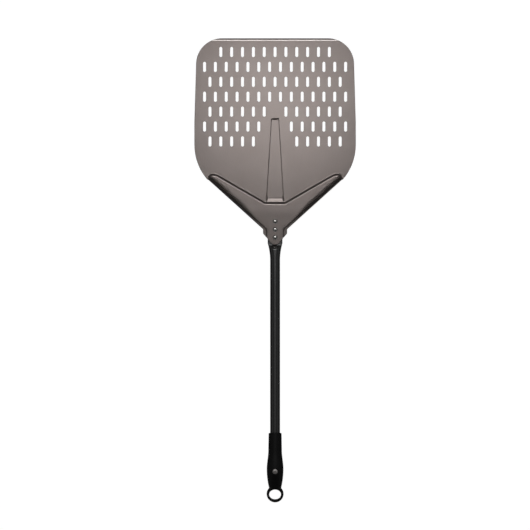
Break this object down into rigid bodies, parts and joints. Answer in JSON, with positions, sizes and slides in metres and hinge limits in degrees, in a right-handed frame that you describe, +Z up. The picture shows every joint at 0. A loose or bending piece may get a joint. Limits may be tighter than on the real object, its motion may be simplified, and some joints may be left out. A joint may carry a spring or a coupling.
{
  "type": "pizza peel",
  "caption": "Perforated aluminium pizza peel: pressed blade with slots, rib and stepped neck, riveted to a black tubular handle with a moulded grip and hanging ring.",
  "frame": {"origin": "centre of the bounding box, at its lowest height, so the peel lies on the XY plane", "axes": "+Z up, +Y from the grip to the front edge of the blade, +X to the right when seen from above with the blade pointing away"},
  "size_m": [0.33, 0.948, 0.0859],
  "materials": {
    "blade_sheet": "satin hard-anodised, warm grey",
    "handle_coating": "aluminium tube with a satin black coating",
    "rivet_metal": "bright domed rivets",
    "grip_plastic": "fine-textured black moulding",
    "blind_rivet_metal": "plain grey aluminium",
    "mandrel_metal": "broken-off steel pin"
  },
  "bodies": {
    "root": {"blade_head": "blade_sheet", "handle_tube": "handle_coating", "neck_rivet_1": "rivet_metal", "neck_rivet_2": "rivet_metal", "neck_rivet_3": "rivet_metal", "hand_grip": "grip_plastic", "grip_rivet": "blind_rivet_metal", "grip_rivet_mandrel": "mandrel_metal"}
  },
  "joints": []
}
